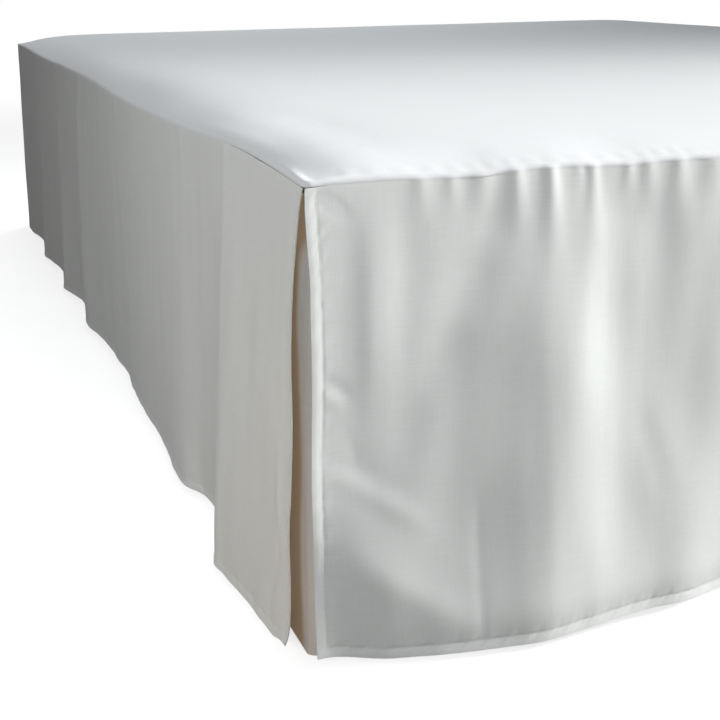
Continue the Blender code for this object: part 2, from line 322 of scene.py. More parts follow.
def coveredTicking(name):
    # Cotton ticking over a block of foam and wood: matt grey, a dense twill with a narrow woven stripe
    look = tickingLook
    material, tree, shader = newMaterial(name, look)
    place = {"Vector": addNode(tree, "TexCoord").outputs["Object"]}
    stripes = {"Scale": look["stripes"], "Distortion": look["stripeWander"], "bands_direction": "DIAGONAL"}
    wave = addNode(tree, "TexWave", stripes, place)
    mottle = addNode(tree, "TexNoise", {"Scale": look["mottle"], "Detail": 2.0}, place)
    colours = {"data_type": "RGBA", 6: linear(look["colours"][0]), 7: linear(look["colours"][1])}
    colour = addNode(tree, "Mix", colours, {0: mottle.outputs["Fac"]})
    tree.links.new(colour.outputs[2], shader.inputs["Base Color"])
    ridges = bumpNode(tree, wave.outputs["Fac"], look["relief"], look["ridgeDepth"])
    tree.links.new(ridges, shader.inputs["Normal"])
    return material


beechLook = {
    "roughness": 0.45,
    "specular": 0.5,
    "grain": (260.0, 260.0, 14.0),  # flecks of about 4 by 70 mm, along the leg
    "fleck": (0.35, "#a97f58"),  # how dark the grain has to be for it, and its colour
    "ground": (0.62, "#c9a27a"),
    "ridgeDepth": 0.0002,
    "relief": 0.2,
}


def oiledBeech(name):
    # Steamed beech, turned and oiled: pale pinkish brown, with short dark flecks along the grain
    look = beechLook
    material, tree, shader = newMaterial(name, look)
    place = addNode(tree, "TexCoord").outputs["Object"]
    drawn = addNode(tree, "Mapping", {"Scale": look["grain"]}, {"Vector": place}).outputs[0]
    grain = addNode(tree, "TexNoise", {"Scale": 1.0, "Detail": 4.0}, {"Vector": drawn}).outputs["Fac"]
    colour = addNode(tree, "ValToRGB", None, {"Fac": grain})
    for element, key in zip(colour.color_ramp.elements, ("fleck", "ground")):
        element.position = look[key][0]
        element.color = linear(look[key][1])
    tree.links.new(colour.outputs[0], shader.inputs["Base Color"])
    tree.links.new(bumpNode(tree, grain, look["relief"], look["ridgeDepth"]), shader.inputs["Normal"])
    return material


whiteCotton = wovenCotton("percaleCotton", "panels", stitched=True)
deckCotton = wovenCotton("percaleCottonDeck", "deck", 0.5)
insertCotton = wovenCotton("percaleCottonInsert", "inserts", 0.8, paintedShade=True)
tickingCloth = coveredTicking("cottonTicking")
beechWood = oiledBeech("oiledBeech")
print("materials made")


# Hung panels

# The sewing that is common to the hung cloths
hem = {
    "width": 0.0088,  # a narrow hem, turned twice
    "step": 0.0006,  # how far its turned layers stand out of the cloth
    "flat": 0.0030,  # they are flat this far in, and then slope down to the stitch line
    "groove": 0.00030,  # how far the stitches draw the cloth in
    "grooveWidth": 0.0010,
    "puckerEvery": 0.021,
    "pucker": 0.00028,
    "puckerReach": 0.006,
    "sideReach": 0.012,  # the hem stands out more, this near to a side edge
    "bottomCurl": (0.0006, 0.006),  # out, and how far up that reaches
    "frontCurlReach": 0.0065,
    "tuckReach": (0.018, 0.18),  # up the drop, and along from the corner, where it grows
    "cornerLift": 0.006,  # the split corners' hems ride up a little
    "cornerReach": 0.060,
    "swingReach": 0.070,  # how much of the cloth goes with an edge that swings open
    "endGap": 0.004,
    "inmost": -0.0003,  # out of the seam's line
    "swell": (0.060, 0.0005, 0.45, 0.15),  # size, depth, how drawn out down the drop, share where it is full
    "rows": [(0, 6, 1.2), (6, 80, 2.6), (80, 386, 5.2), (386, 398, 1.1)],  # mm: from, to, step
    "cloth": 0.0010,
}

# A panel's folds say how far out it hangs at these shares of its drop; at the first one it is 0
foldDrops = [0.0, 0.30, 0.60, 0.76, 1.0]

footPanel = {
    "name": "footPanel",
    "node": "panel_foot",
    "atSeam": (-0.00015, 0.003),  # how far out of the deck's edge it starts, and how far down that reaches
    # mm: along, and how far its top stays under the deck's edge; a second 0 keeps the curve flat after it
    "seamGap": [(0, 0.6), (14, 0.6), (22, 0), (24, 0), (1534, 0)],
    "hemTuck": 0.0034,  # how far the hem turns back in
    "curl": 0.0005,
    "corner": (-halfSeam, footSeam),
    "along": (1.0, 0.0),
    "out": (0.0, -1.0),
    "length": 2 * halfSeam,
    "wave": footSeamWave,
    "stations": [(0, 12, 1.2), (12, 340, 2.1), (340, 1514, 6.5), (1514, 1526, 1.2)],
    "flat": (1.55, 0.425),
    "folds": [  # mm: along, upper, middle, lower, hem
        (0, 0, 0, 0, 0), (18, -0.2, 0.4, 3, 1), (36, 1, 1.2, 6.5, 5), (50, 2.8, 2.4, 8.6, 9),
        (61, 3, 3.8, 10, 13), (80, 2.2, 6, 11.6, 18), (100, 2.6, 8.2, 13, 23), (125, 4, 10.8, 15, 28),
        (141, 6, 12.8, 17, 31.2), (160, 8.6, 15.6, 20.8, 34.4), (183, 11.2, 19.6, 25.6, 37.2),
        (203, 13.4, 22.8, 27.6, 38.2), (218, 13.8, 22.8, 26.4, 37.6), (232, 12.4, 21.4, 24.8, 36.2),
        (246, 9.2, 19.3, 22.9, 34.6), (258, 6.4, 16.8, 20.9, 32.8), (270, 4.5, 14.3, 19.4, 30.9),
        (288, 4, 12.4, 18.4, 28.8), (306, 4.4, 12.2, 18, 27.2), (345, 5.6, 12.8, 17.6, 25),
        (392, 5.8, 9.8, 11.2, 13), (440, 3, 4, 4.4, 4.4), (510, 3.4, 7, 9, 12), (560, 8, 16, 20, 26),
        (620, 5, 9.2, 11.2, 15), (690, 1.4, 3, 3.8, 5), (770, 5, 9, 11.8, 16),
        (830, 9.4, 17.6, 21.8, 29), (890, 6, 10.8, 13.6, 18), (970, 1.8, 3.4, 4.4, 6),
        (1050, 4.4, 8.2, 10.4, 14), (1110, 7.8, 14.6, 18.2, 24), (1170, 4, 7.4, 9.2, 12),
        (1250, 2, 3.6, 4.4, 6), (1330, 7, 13.2, 16.6, 22), (1390, 9.8, 18.2, 22.8, 30),
        (1450, 5.6, 10.4, 13.4, 18), (1500, 1.2, 2.2, 3, 4), (1540, 0, 0.2, 0.6, 1),
    ],
    "gathers": [  # mm: along, out, half width, reach down; and how far it leans along as it goes down
        (92, 1.1, 6.5, 30, 0.02), (118, 0.9, 5, 22, 0), (144, 1.6, 8.5, 48, -0.06),
        (173, 2, 6.2, 45, 0.02), (203, 2.6, 5.8, 60, 0.02), (228, 0.8, 4.2, 18, 0),
        (241, 1.7, 5, 55, 0.02), (274, 1, 4.6, 24, 0), (293, 1.2, 6, 30, 0.04), (322, 1.6, 7, 40, 0),
        (356, 1.8, 8, 50, -0.04), (404, 1.4, 9, 40, 0),
    ],
    "creases": [  # mm: from along and drop, to along and drop, half width, out
        (8, 6, 34, 26, 5, -0.9), (6, 150, 34, 168, 4.2, -0.7), (6, 162, 26, 178, 4, 0.4),
        (10, 205, 52, 246, 14, -0.9), (6, 222, 96, 284, 10, 0.8), (10, 294, 136, 382, 17, 1.3),
        (138, 258, 139, 400, 5, -0.4), (152, 6, 137, 108, 19, -3), (112, 118, 74, 225, 18, -1.7),
        (292, 206, 318, 296, 12, -0.6),
    ],
    "front": [  # mm: drop, how far along the edge swings there
        (0, 0.4), (18, 0), (30, 0.4), (45, 1.2), (70, 2.6), (104, 2.4), (146, 2.2), (197, 1),
        (248, -0.3), (299, 0.3), (350, 0.1), (398, 0.8),
    ],
    "back": [(0, 0.4), (90, -1), (210, -2.2), (320, -0.4), (398, 1)],
    "hemWave": [  # mm: along, up
        (0, 0), (203, 0), (232, 0.9), (258, 1.7), (288, 2.2), (306, 2.3), (345, 1.4), (392, 0.4),
        (440, 0), (1534, 0),
    ],
}

leftPanel = {
    "name": "leftPanel",
    "node": "panel_left",
    "atSeam": (-0.0004, 0.003),
    "seamGap": [(0, 0.9), (180, 0.9), (260, 0), (262, 0), (2037, 0)],
    "hemTuck": 0.0008,
    "curl": 0.0006,
    "corner": (-halfSeam, footSeam),
    "along": (0.0, 1.0),
    "out": (-1.0, 0.0),
    "length": sideLength,
    "wave": sideSeamWave,
    "stations": [(0, 12, 1.2), (12, 470, 3.1), (470, 1400, 6.4), (1400, 2033, 10.5)],
    "flat": (2.06, 0.425),
    "folds": [  # mm
        (0, 4.4, 9.2, 12, 16), (30, 5, 10, 13.4, 18), (80, 6, 12, 15.2, 20), (140, 7.8, 15.4, 19.4, 25),
        (185, 10, 19.2, 24.2, 31.2), (208, 11.2, 20.8, 26.2, 33.4), (220, 11.2, 19.6, 24.4, 30),
        (232, 9.2, 15, 18, 23), (246, 5.6, 9, 11, 16), (280, 2, 2.8, 3.4, 5), (330, 0.8, 0.8, 0.8, 1),
        (375, 2.6, 4, 4.6, 4.4), (408, 4.6, 8.8, 11.4, 17.6), (440, 5.4, 10.2, 13, 18.8),
        (500, 4.8, 9, 11.2, 15), (570, 3.6, 6.8, 8.4, 11), (640, 4.8, 7.2, 8.6, 11.2),
        (720, 3.6, 6.2, 7.6, 10), (790, 3, 4.4, 5, 6), (830, 1.2, 1.4, 1.8, 2), (885, 1.6, 2.6, 3.2, 4),
        (940, 2, 3, 3.4, 4.6), (1000, 2.6, 4.2, 5.2, 7), (1050, 3.6, 6.2, 7.8, 10.8),
        (1102, 7, 11.6, 14.2, 18), (1130, 8.6, 13.4, 15.6, 18), (1160, 6.4, 10, 11.4, 13),
        (1200, 2, 3.4, 4.2, 6), (1270, 1, 1.8, 2.2, 3), (1325, 4, 7, 8.4, 11.2),
        (1375, 7, 13, 16, 20.6), (1430, 3.4, 6.2, 7.8, 10), (1520, 1.4, 2.4, 3, 4),
        (1610, 4.8, 8.6, 10.6, 14), (1665, 6.8, 12.2, 15.2, 20), (1730, 2.4, 4.2, 5.4, 7),
        (1830, 1.8, 3, 3.8, 5), (1930, 5.2, 9.8, 12, 16), (2060, 3.4, 6.2, 7.6, 10),
    ],
    "gathers": [  # mm, but for the lean
        (118, 0.7, 10, 30, 0), (226, 1.2, 8, 60, -0.03), (410, 0.9, 9, 50, 0.02), (560, 1, 10, 40, 0),
        (672, 1.2, 9, 55, 0.03), (800, 1.8, 11, 75, 0.02), (930, 1.2, 12, 60, 0),
        (1040, 1.4, 12, 70, 0.02), (1120, 2.6, 14, 110, 0.04), (1270, 1.6, 15, 80, 0),
        (1390, 1.8, 14, 80, 0.02), (1560, 1.4, 13, 60, 0), (1740, 1.6, 15, 70, 0.02),
        (1910, 1.4, 15, 60, 0),
    ],
    "creases": [  # mm
        (80, 386, 30, 300, 11, -1.4), (128, 392, 70, 330, 10, -1.2), (50, 240, 20, 318, 11, 1.2),
        (150, 250, 175, 330, 13, 0.9), (90, 176, 40, 236, 13, 0.8),
    ],
    "front": [
        (0, 3), (11, 6.2), (35, 12.4), (67, 18.5), (115, 23.6), (149, 25), (196, 20.6), (228, 18.7),
        (257, 18.4), (285, 21.2), (306, 21.6), (337, 19.4), (361, 19.2), (380, 20.6), (398, 28),
    ],
    "back": [(0, 0), (398, 0)],
    "hemWave": [(0, 0), (2037, 0)],
}

rightPanel = {
    "name": "rightPanel",
    "node": "panel_right",
    "atSeam": (-0.0012, 0.005),
    "seamGap": [(0, 0), (2037, 0)],
    "hemTuck": 0.0012,
    "curl": 0.0006,
    "corner": (halfSeam, footSeam),
    "along": (0.0, 1.0),
    "out": (1.0, 0.0),
    "length": sideLength,
    "wave": sideSeamWave,
    "stations": [(0, 12, 1.2), (12, 2033, 7.2)],
    "flat": (2.06, 0.425),
    "folds": [  # mm
        (0, 4, 7.6, 9.6, 13), (60, 5.8, 10.8, 13.4, 18), (130, 9, 16.6, 20.6, 27),
        (180, 11, 20, 24.6, 32), (230, 5.6, 10.4, 13.2, 18), (300, 1.4, 2.6, 3, 4),
        (390, 3, 5.4, 6.8, 9), (455, 7.8, 13.6, 16.8, 22), (520, 4, 7, 8.8, 12), (620, 1.2, 2, 2.4, 3),
        (720, 4, 7.2, 9, 12), (790, 9, 16, 19.8, 26), (850, 5, 9, 11.2, 15), (950, 1.4, 2.6, 3, 4),
        (1060, 4.8, 8.6, 10.6, 14), (1120, 7.4, 13, 16, 21), (1190, 3, 5.4, 6.6, 9),
        (1300, 1.2, 2, 2.4, 3), (1390, 5.8, 10.4, 12.8, 17), (1450, 8.4, 14.8, 18.2, 24),
        (1520, 3.4, 6, 7.6, 10), (1620, 1.6, 2.6, 3.2, 4), (1720, 4.2, 7.4, 9, 12),
        (1780, 6.6, 11.8, 14.4, 19), (1860, 2, 3.6, 4.4, 6), (1950, 3.4, 6.2, 7.6, 10),
        (2060, 4.6, 8.2, 10, 13),
    ],
    "gathers": [  # mm, but for the lean
        (75, 1.2, 9, 40, 0), (168, 2.2, 12, 70, 0.03), (330, 1.2, 11, 40, 0), (448, 2, 12, 70, -0.02),
        (600, 1.2, 12, 50, 0), (776, 2.2, 13, 80, 0.03), (900, 1.2, 12, 40, 0), (1110, 2, 13, 70, 0),
        (1260, 1.2, 12, 50, 0.02), (1440, 2.2, 13, 80, 0), (1600, 1.2, 12, 40, 0),
        (1770, 2, 13, 70, 0.02), (1930, 1.2, 12, 50, 0),
    ],
    "creases": [  # mm
        (70, 380, 30, 290, 12, -1.3), (130, 250, 170, 350, 13, 1), (620, 180, 700, 300, 16, 1.2),
        (1240, 240, 1330, 360, 16, 1.2), (1880, 200, 1950, 330, 16, -1),
    ],
    "front": [(0, 3), (50, 12), (120, 20), (200, 19), (290, 22), (398, 27)],
    "back": [(0, 0), (398, 0)],
    "hemWave": [(0, 0), (2037, 0)],
}


def foldOut(panel, along, share):
    # How far out the cloth hangs: a cubic along each level's folds, then a cubic down through the levels
    levels = [smoothTable(panel["folds"], column, along) for column in (1, 2, 3, 4)]
    values = np.stack([np.zeros_like(along)] + levels)
    drops = np.array(foldDrops)
    slopes = np.gradient(values, drops, axis=0)
    i = np.clip(np.searchsorted(drops, share, side="right") - 1, 0, len(drops) - 2)
    width = drops[i + 1] - drops[i]

    def pick(stack, level):
        return np.take_along_axis(stack, level[None], axis=0)[0]

    ends = pick(values, i), pick(slopes, i), pick(values, i + 1), pick(slopes, i + 1)
    return cubic((share - drops[i]) / width, width, *ends)


def gatherOut(panel, along, drop):
    # Small folds that start at the seam: each a soft ridge that widens and fades as it goes down
    total = np.zeros_like(along)
    for place, out, halfWidth, reach, lean in inMetres(panel["gathers"], 4):
        width = halfWidth * (1 + 0.8 * drop / reach)
        ridge = np.exp(-(((along - place - lean * drop) / width) ** 2))
        total += out * ridge * np.exp(-((drop / reach) ** 1.5))
    return total


def creaseOut(panel, along, drop):
    # Listed creases: a soft ridge or trough along a straight line, faded at both its ends
    total = np.zeros_like(along)
    for a0, d0, a1, d1, halfWidth, out in inMetres(panel["creases"]):
        run = np.array([a1 - a0, d1 - d0])
        length = np.linalg.norm(run)
        onLine = ((along - a0) * run[0] + (drop - d0) * run[1]) / length
        offLine = ((along - a0) * run[1] - (drop - d0) * run[0]) / length
        fade = 2 * halfWidth + 0.2 * length
        ends = ease((onLine + halfWidth) / fade) * ease((length + halfWidth - onLine) / fade)
        total += out * np.exp(-((offLine / halfWidth) ** 2)) * ends
    return total


def bell(distance, width):
    # 1 at no distance, falling off on both sides as the square in an exponential
    return np.exp(-((distance / width) ** 2))


def hungPanel(panel, seed, sideHems):
    # The panel's grid: along the seam and down the drop, each point moved out by its folds, creases and hem
    end = panel["length"] - hem["endGap"]
    along = stations(inMetres(panel["stations"]))
    along = along[along <= end + 1e-9]
    along = along * end / along[-1]
    alongGrid, dropGrid = np.meshgrid(along, stations(inMetres(hem["rows"])))
    share = dropGrid / panelDrop
    out = foldOut(panel, alongGrid, share)
    out += gatherOut(panel, alongGrid, dropGrid)
    out += creaseOut(panel, alongGrid, dropGrid)
    size, depth, drawn, full = hem["swell"]
    out += unevenness(alongGrid, dropGrid * drawn, seed, size, depth) * ease(share / full)
    # Distances to the hemmed edges
    toFront = alongGrid
    toBack = end - alongGrid if sideHems == 2 else np.full_like(alongGrid, 9.0)
    toBottom = panelDrop - dropGrid
    toHem = np.minimum(np.minimum(toFront, toBack), toBottom)
    inHem = 1 - ease((toHem - hem["flat"]) / (hem["width"] - hem["flat"]))
    # The stitches' puckers are two waves round the panel, whose phases wander
    way = alongGrid + dropGrid
    wobble = np.sin(2 * math.pi * way / hem["puckerEvery"] + 2.1 * np.sin(way * 37.0 + seed))
    wobble += 0.6 * np.sin(2 * math.pi * way / (hem["puckerEvery"] * 0.43) + 1.3 * np.sin(way * 61.0))
    sideShare = bell(np.minimum(toFront, toBack), hem["sideReach"])
    out += inHem * hem["step"] * (0.55 + 0.45 * sideShare)
    out += wobble * hem["pucker"] * bell(toHem - hem["width"], hem["puckerReach"])
    out -= hem["groove"] * bell(toHem - hem["width"] - 0.0004, hem["grooveWidth"])
    out = np.maximum(out, hem["inmost"])
    # The front edge's hem curls out a little, and the bottom one less, which also turns back in
    out += panel["curl"] * bell(toFront, hem["frontCurlReach"]) * ease(share / 0.06)
    out += hem["bottomCurl"][0] * bell(toBottom, hem["bottomCurl"][1])
    out -= panel["hemTuck"] * bell(toBottom, hem["tuckReach"][0]) * ease(alongGrid / hem["tuckReach"][1])
    out += panel["atSeam"][0] * np.exp(-dropGrid / panel["atSeam"][1])
    # Edges that swing open at the split corners, and hems that ride up there
    frontFade = 1 - ease((alongGrid - hem["endGap"]) / hem["swingReach"])
    backFade = 1 - ease((panel["length"] - 2 * hem["endGap"] - alongGrid) / hem["swingReach"])
    shift = smoothTable(panel["front"], 1, dropGrid) * frontFade
    shift -= smoothTable(panel["back"], 1, dropGrid) * backFade
    lift = hem["cornerLift"] * (1 - ease(alongGrid / hem["cornerReach"]))
    if sideHems == 2:
        lift += hem["cornerLift"] * (1 - ease((end - alongGrid) / hem["cornerReach"]))
    top = seamHeight + smoothTable(panel["wave"], 1, alongGrid) - seamRoll + seamGap
    top -= smoothTable(panel["seamGap"], 1, alongGrid)
    bottom = hemHeight + lift + smoothTable(panel["hemWave"], 1, alongGrid)
    place = alongGrid + shift
    alongX, alongY = panel["along"]
    outX, outY = panel["out"]
    points = np.empty(alongGrid.shape + (3,))
    points[..., 0] = panel["corner"][0] + alongX * place + outX * out
    points[..., 1] = panel["corner"][1] + alongY * place + outY * out
    points[..., 2] = top + (bottom - top) * share
    if alongX * outY - alongY * outX < 0:
        points, dropGrid, toHem = points[::-1], dropGrid[::-1], toHem[::-1]
    clothUV = np.stack([alongGrid, -dropGrid], axis=-1)
    piece = sheetObject(panel["name"], points, clothUV, hem["cloth"], whiteCotton, {"edgeDistance": toHem})
    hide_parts(panel["node"])
    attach(piece, "root")
    print(panel["name"], "made,", len(piece.data.polygons), "faces")
    return piece


hungPanel(footPanel, 11, 2)
hungPanel(leftPanel, 23, 1)
hungPanel(rightPanel, 37, 1)


# Deck

deck = {
    "name": "deckCloth",
    "node": "deck",
    "flat": (1.560, 2.060),
    "shoulder": [  # mm: in from the seam, up
        (0, 0), (4, 1.6), (10, 4), (22, 8), (37, 12.2), (52, 15.2), (70, 17.6), (95, 19.6), (130, 20.8),
        (190, 21.2), (300, 21.2),
    ],
    "across": [
        (0, 3.4, 0.5), (3.4, 14, 1.4), (14, 340, 3), (340, 1424, 10.6),
        (1424, 1520, 6), (1520, 1530.6, 1.4), (1530.6, 1534, 0.5),
    ],
    "back": [
        (0, 3.4, 0.5), (3.4, 14, 1.4), (14, 110, 4),
        (110, 700, 10.5), (700, 1920, 14.8), (1920, 2037, 11),
    ],
    "cornerRadius": 0.006,
    "cornerFirm": (0.9, 0.050),  # how much steeper the foot's shoulder is near the corners, and its reach
    "waveReach": 0.09,  # the seams' waves fade out over this much of the deck
    "swell": (0.16, 0.0002, 0.05),  # size, depth, and how far in from the seams it is full
    "pucker": (0.00020, 0.019),  # the foot seam's: height, and how far apart
    "puckerBand": (0.008, 0.007),  # how far in from the foot seam, and half width
    "cloth": 0.0010,
    "hollows": [  # across, back, half width, half length, down, how far in from the side seams it is full
        (0.016, 0.016, 0.020, 0.028, 0.0030, 0.010),
        (0.022, 0.200, 0.036, 0.100, 0.0007, 0.026),
        (0.310, 0.420, 0.240, 0.200, 0.0006, 0.020),
        (0.820, 0.900, 0.300, 0.360, 0.0018, 0.020),
        (1.160, 0.380, 0.220, 0.260, 0.0012, 0.020),
        (0.420, 1.500, 0.260, 0.300, 0.0014, 0.020),
        (1.200, 1.560, 0.240, 0.260, 0.0012, 0.020),
    ],
}


def makeDeck():
    # Height over the seam is the shoulder's table taken across times the same from either end
    across, back = stations(inMetres(deck["across"])), stations(inMetres(deck["back"]))
    acrossGrid, backGrid = np.meshgrid(across, back)
    reach, crown = inMetres(deck["shoulder"])[-1]
    fromSide = np.minimum(acrossGrid, 2 * halfSeam - acrossGrid)
    # Near the corners the foot shoulder is steeper, so that the side's slope runs on to the corner
    firm, firmReach = deck["cornerFirm"]
    footWay = backGrid * (1 + firm * bell(fromSide, firmReach))
    rise = np.ones_like(acrossGrid)
    for way in (fromSide, footWay, sideLength - backGrid):
        rise = rise * smoothTable(deck["shoulder"], 1, np.minimum(way, reach)) / crown
    sideFade = 1 - ease(fromSide / deck["waveReach"])
    footFade = 1 - ease(backGrid / deck["waveReach"])
    side = smoothTable(sideSeamWave, 1, backGrid) * sideFade
    foot = smoothTable(footSeamWave, 1, acrossGrid) * footFade
    z = seamHeight + crown * rise + side + foot - inMetres(sideSeamWave)[0][1] * sideFade * footFade
    for a, b, halfWidth, halfLength, down, full in deck["hollows"]:
        dent = np.exp(-(((acrossGrid - a) / halfWidth) ** 2) - ((backGrid - b) / halfLength) ** 2)
        z -= down * dent * ease(fromSide / full) * ease(backGrid / 0.010)
    size, depth, full = deck["swell"]
    z += unevenness(acrossGrid, backGrid, 5, size, depth) * ease(np.minimum(fromSide, backGrid) / full)
    # The seam's own little puckers, one wave whose phase wanders
    depth, every = deck["pucker"]
    middle, halfBand = deck["puckerBand"]
    wave = np.sin(acrossGrid * 2 * math.pi / every + 2 * np.sin(acrossGrid * 41))
    z += depth * wave * bell(backGrid - middle, halfBand)
    # The seam's roll: the last of the cloth turns over a quarter circle, out and down to the panels' tops
    sideTurn = np.clip(1 - fromSide / seamRoll, 0, 1) * math.pi / 2
    footTurn = np.clip(1 - backGrid / seamRoll, 0, 1) * math.pi / 2
    fromSide = np.where(sideTurn > 0, seamRoll * (1 - np.sin(sideTurn)), fromSide)
    fromFoot = np.where(footTurn > 0, seamRoll * (1 - np.sin(footTurn)), backGrid)
    fromFoot = fromFoot - gatherOut(footPanel, acrossGrid, 0 * acrossGrid) * np.sin(footTurn) ** 2
    x = np.sign(acrossGrid - halfSeam) * (halfSeam - fromSide)
    y = footSeam + fromFoot
    z -= seamRoll * (1 - np.cos(np.maximum(sideTurn, footTurn)))
    # The corner square is drawn in to a quarter disc
    r = deck["cornerRadius"]
    overX = np.abs(x) - (halfSeam - r)
    overY = footSeam + r - y
    inCorner = (overX > 0) & (overY > 0)
    reach = np.maximum(overX, overY) / np.maximum(np.hypot(overX, overY), 1e-9)
    x = np.where(inCorner, np.sign(x) * (halfSeam - r + overX * reach), x)
    y = np.where(inCorner, footSeam + r - overY * reach, y)
    points = np.stack([x, y, z], axis=-1)
    clothUV = np.stack([acrossGrid, backGrid], axis=-1)
    piece = sheetObject(deck["name"], points, clothUV, deck["cloth"], deckCotton)
    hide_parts(deck["node"])
    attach(piece, "root")
    print("deck made,", len(piece.data.polygons), "faces")
    return piece


makeDeck()


# Corner inserts

insert = {
    "wing": 0.150,
    "wingSteps": 44,
    "radiusTop": 0.034,  # round the base's corner at the top, and hanging off it to a crisper fold below
    "radiusHem": 0.012,
    "crisps": (0.018, 0.110),  # between these drops
    "turnSteps": 16,
    "inset": 0.0036,
    "flare": 0.0050,  # how far out of the side its hem swings
    "paintedShadeFrom": [  # mm: drop, how far back of the foot the painted warm shade starts
        (0, 0), (24, 0), (41, 14.3), (64, 19.5), (96, 24.3), (135, 22), (183, 18.5), (233, 18),
        (283, 23.5), (335, 23), (360, 20.5), (398, 19),
    ],
    "paintedShadeFade": 0.014,  # over this much it comes in
    "tuck": 0.0070,  # how far back the foot wing's hem lies
    "top": 0.3965,
    "hemHeight": 0.010,
    "flat": (0.310, 0.400),
    "cloth": 0.0009,
}


def makeInsert(name, node, side):
    # At each drop a strip round the base's corner: down the side wing, round a quarter circle whose radius
    # shrinks with the drop, then along the foot wing
    inset, wing = insert["inset"], insert["wing"]
    length = insert["top"] - insert["hemHeight"]
    hemRows = length - 0.012  # the rows are closer together from here down
    drop = stations([(0.0, hemRows, 0.0042), (hemRows, length, 0.0011)])[:, None]
    crisp, full = insert["crisps"]
    crisped = ease((drop - crisp) / (full - crisp))
    radius = insert["radiusTop"] + (insert["radiusHem"] - insert["radiusTop"]) * crisped
    centre = inset + radius
    straight = np.linspace(0, 1, insert["wingSteps"] + 1)[None, :-1]
    turn = np.linspace(0, math.pi / 2, insert["turnSteps"] + 1)[None]
    level = inset + 0 * straight * centre
    footWing = centre + (wing - centre) * (1 - straight[:, ::-1])
    fromSide = np.hstack([level, centre - radius * np.cos(turn), footWing])
    fromFoot = np.hstack([wing + (centre - wing) * straight, centre - radius * np.sin(turn), level])
    facesSide = np.hstack([np.ones(straight.shape), 1 - turn / (math.pi / 2), np.zeros(straight.shape)])
    steps = np.hypot(np.diff(fromSide, axis=1), np.diff(fromFoot, axis=1))
    runGrid = np.hstack([np.zeros((len(drop), 1)), np.cumsum(steps, axis=1)])
    dropGrid = drop + 0 * runGrid
    share = dropGrid / length
    below = np.clip((share - 0.5) / 0.5, 0, 1)
    toHem = length - dropGrid
    inHem = 1 - ease((toHem - hem["flat"]) / (hem["width"] - hem["flat"]))
    relief = hem["step"] * 0.6 * inHem
    flare = insert["flare"] * share * facesSide + relief
    tuck = insert["tuck"] * below**2 * (1 - facesSide)
    points = np.empty(runGrid.shape + (3,))
    points[..., 0] = side * (halfSeam - fromSide + flare)
    points[..., 1] = footSeam + fromFoot + tuck
    points[..., 2] = insert["top"] - dropGrid
    # Painted warm shade, where the hung side panel shades it, from its front edge back
    paintedShadeFrom = smoothTable(insert["paintedShadeFrom"], 1, dropGrid)
    paintedShade = ease((fromFoot - paintedShadeFrom) / insert["paintedShadeFade"])
    if side < 0:
        points, dropGrid, paintedShade = points[::-1], dropGrid[::-1], paintedShade[::-1]
    clothUV = np.stack([runGrid, -dropGrid], axis=-1)
    piece = sheetObject(name, points, clothUV, insert["cloth"], insertCotton, {"paintedShade": paintedShade})
    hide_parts(node)
    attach(piece, "root")
    print(name, "made,", len(piece.data.polygons), "faces")
    return piece


makeInsert("leftInsert", "insert_left", -1)
makeInsert("rightInsert", "insert_right", 1)


# Bed base and legs

baseBlock = {
    "half": 0.762,
    "foot": -0.996,
    "head": 1.036,
    "top": 0.42125,
    "underside": 0.19225,
    "shoulder": (0.090, 0.028),  # the soft top edge's width and drop
    "cornerRadius": 0.030,
    "welt": 0.0030,  # radius of the piping that covers the wall's two seams
    "weltGap": 0.0004,
    "wallIn": 0.0012,  # how far the wall is drawn in between the pipings
    "rim": (0.0030, 0.0012),  # the underside's rounded edge: in and up
    "softness": 0.0005,
    "steps": (0.0035, 0.010, 0.040),  # at the corners, over the shoulder and, from edge on, in the middle
    "edge": 0.1,
}


def blockStations(low, high, corner):
    # Places from one side of the block to the other, closer together towards either side
    fine, soft, wide = baseBlock["steps"]
    edge = baseBlock["edge"]
    return stations([
        (low, low + corner, fine), (low + corner, low + edge, soft), (low + edge, high - edge, wide),
        (high - edge, high - corner, soft), (high - corner, high, fine),
    ])


